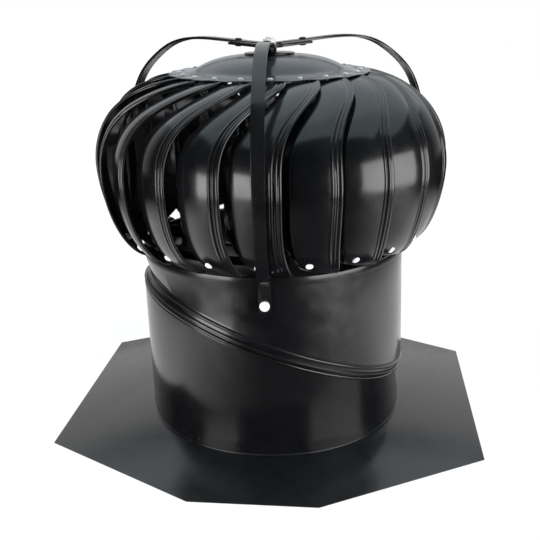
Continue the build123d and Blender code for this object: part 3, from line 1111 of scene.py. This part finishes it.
# ---------------------------------------------------------------- studio
@dataclass(frozen=True)
class Panel:
    """Soft rectangular panel that faces the head, in metres.

    Its bearing is taken from the camera's side, counter-clockwise from above. Its softness is the
    share of its size over which it fades. A footed panel stands upright, and its layers share
    their lower edge. The layers of any other one share their middle.
    """

    name: str
    bearing: float
    distance: float
    height: float
    size: Point
    radiance: float
    softness: float
    colour: Triple = (1, 1, 1)
    footed: bool = False

    def hang(self, front: float, aim: float, layers: int) -> None:
        """Hang it in layers that fade it towards its edges.

        Args:
            front: Heading of the camera's side.
            aim: Height that it is turned to.
            layers: Number of layers.
        """
        for layer in range(layers):
            share = 1 - self.softness * layer / (layers - 1)
            lamp = bpy.data.lights.new(f"{self.name} {layer + 1}", "AREA")
            lamp.shape = "RECTANGLE"
            lamp.size, lamp.size_y = self.size[0] * share, self.size[1] * share
            weight = 2 * (layer + 1) / (layers * (layers + 1))
            lamp.energy = self.radiance * weight * pi * lamp.size * lamp.size_y
            lamp.color = self.colour
            made = bpy.data.objects.new(lamp.name, lamp)
            bpy.context.scene.collection.objects.link(made)
            drop = self.size[1] / 2 * (1 - share) if self.footed else 0.0
            level = self.height - drop
            made.location = around(front + self.bearing) * self.distance + Vector((0, 0, level))
            sight = Vector((0, 0, level if self.footed else aim)) - made.location
            made.rotation_euler = sight.to_track_quat("-Z", "Y").to_euler()


@dataclass
class Studio:
    """White floor and world, soft panels and the camera.

    To mirrors the floor is lit only near the object and away from its front, and the world only
    behind it, as between black flags. A front is a heading, and the cosines and rises are taken
    of directions from the axis.
    """

    eye: Triple = (0.0992, -0.9296, 0.4856)
    target: Triple = (-0.00417, -0.00046, 0.16563)
    roll: float = -1.14
    lens: float = 54.36
    floor_side: float = 8.0
    front: float = 6.35
    world_level: float = 0.3
    paper_white: float = 1.04
    shadow_share: float = 0.13
    shadow_reach: float = 0.8
    dark_bearing: float = 4.0
    dark_cosine: float = 0.966
    light_cosine: float = 0.2
    dark_level: float = 0.05
    lit_reach: Point = (0.6, 0.95)
    back_cosines: Point = (0.2, 0.75)
    back_level: float = 0.75
    back_rises: Point = (0.52, 0.62)
    back_fade: float = 0.3
    head_level: float = 0.3
    panel_layers: int = 6
    paper_tone: float = 0.8
    paper_roughness: float = 0.9
    shadow_start: float = 0.3
    floor_drop: float = 0.0006
    panels: tuple[Panel, ...] = (
        Panel("overhead softbox", 180, 0.2, 1.5, (2.6, 2.1), 12.0, 0.4, colour=(0.78, 0.92, 1.0)),
        Panel("right low panel", 50, 0.75, 0.31, (0.66, 0.38), 54.0, 0.68, footed=True),
        Panel("left low panel", -46, 0.75, 0.26, (0.36, 0.28), 64.0, 0.68, footed=True),
    )

    def stand(
        self, shape: bmesh.types.BMesh, name: str, material: bpy.types.Material
    ) -> bpy.types.Object:
        """Put a shape on the stage.

        Args:
            shape: The shape, in metres and in place.
            name: Name of the object.
            material: Its material.

        Returns:
            The object.
        """
        mesh = bpy.data.meshes.new(name)
        shape.to_mesh(mesh)
        shape.free()
        made = bpy.data.objects.new(name, mesh)
        bpy.context.scene.collection.objects.link(made)
        mesh.materials.append(material)
        return made

    def floor(self) -> None:
        """Lay the pale floor, which keeps the object's shadow."""
        paper = ShaderSheet("floor paper")
        paper.feed("Base Color", (self.paper_tone, self.paper_tone, self.paper_tone, 1))
        paper.feed("Roughness", self.paper_roughness)
        place = paper.node("TexCoord").outputs["Object"]
        away = paper.node("VectorMath", {0: place}, operation="LENGTH").outputs["Value"]
        front = paper.facing_share(place, self.front + self.dark_bearing)
        dark, light = (self.dark_cosine, self.dark_level), (self.light_cosine, 1.0)
        sector = paper.ramp(front, dark, light)
        reach = paper.ramp(away, (self.lit_reach[0], 1.0), (self.lit_reach[1], 0.0))
        mask = paper.node("Math", {0: sector, 1: reach}, operation="MULTIPLY").outputs[0]
        strength = paper.pick(paper.mirrored(), self.paper_white, mask)
        glow = paper.node("Emission", {"Color": (1, 1, 1, 1), "Strength": strength})
        deepest = (self.shadow_start, 1 - self.shadow_share)
        shadow = paper.ramp(away, deepest, (self.shadow_reach, 1.0))
        open_share = paper.pick(paper.mirrored(), shadow, 1.0)
        rays = paper.seen_white()
        whiteness = paper.node("Math", {0: open_share, 1: rays}, operation="MULTIPLY").outputs[0]
        mix = paper.node("MixShader", {"Fac": whiteness})
        paper.tree.links.new(paper.shader.outputs[0], mix.inputs[1])
        paper.tree.links.new(glow.outputs[0], mix.inputs[2])
        paper.tree.links.new(mix.outputs[0], paper.tree.nodes["Material Output"].inputs["Surface"])
        shape = bmesh.new()
        bmesh.ops.create_grid(shape, x_segments=1, y_segments=1, size=self.floor_side / 2)
        bmesh.ops.translate(shape, vec=(0, 0, -self.floor_drop), verts=shape.verts)
        self.stand(shape, "floor", paper.material)

    def sky(self) -> None:
        """Set a dim even world, which the camera sees white."""
        world = bpy.data.worlds.new("studio")
        bpy.context.scene.world = world
        world.use_nodes = True
        bench = NodeBench(world.node_tree)
        course = bench.node("TexCoord").outputs["Generated"]
        behind = bench.facing_share(course, self.front + 180)
        near, far = self.back_cosines
        wall = bench.ramp(behind, (near, 0.0), (far, self.back_level))
        rise = bench.node("SeparateXYZ", {"Vector": course}).outputs["Z"]
        low, high = self.back_rises
        fade = bench.ramp(rise, (low, 1.0), (high, self.back_fade))
        mask = bench.node("Math", {0: wall, 1: fade}, operation="MULTIPLY").outputs[0]
        strength = bench.pick(bench.mirrored(), 1.0, mask)
        white = bench.node("Background", {"Color": (1, 1, 1, 1), "Strength": strength})
        ground = world.node_tree.nodes["Background"]
        ground.inputs["Color"].default_value = (1, 1, 1, 1)
        ground.inputs["Strength"].default_value = self.world_level
        mix = bench.node("MixShader", {"Fac": bench.seen_white()})
        bench.tree.links.new(ground.outputs[0], mix.inputs[1])
        bench.tree.links.new(white.outputs[0], mix.inputs[2])
        bench.tree.links.new(mix.outputs[0], bench.tree.nodes["World Output"].inputs["Surface"])

    def camera(self) -> None:
        """Set up the camera at the viewing angle."""
        lens = bpy.data.cameras.new("camera")
        lens.lens = self.lens
        lens.sensor_width = 36
        made = bpy.data.objects.new("camera", lens)
        bpy.context.scene.collection.objects.link(made)
        aim = Vector(self.target) - Vector(self.eye)
        turn = aim.to_track_quat("-Z", "Y").to_matrix().to_4x4()
        lean = Matrix.Rotation(radians(self.roll), 4, "Z")
        made.matrix_world = Matrix.Translation(self.eye) @ turn @ lean
        bpy.context.scene.camera = made

    def build(self) -> None:
        """Set the stage."""
        self.floor()
        self.sky()
        for panel in self.panels:
            panel.hang(self.front, self.head_level, self.panel_layers)
        self.camera()
        bpy.context.scene.view_settings.view_transform = "Standard"


def main() -> None:
    """Build the ventilator round its frame."""
    logging.basicConfig(level=logging.INFO, format="%(name)s: %(message)s")
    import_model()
    shop = Workshop(PaintShop())
    for part in (Flashing(shop), Collars(shop), Head(shop, Vane(HeadOutline())), Braces(shop)):
        part.build()
        log.info("%s is built", type(part).__name__)
    Studio().build()


if __name__ == "__main__":
    main()
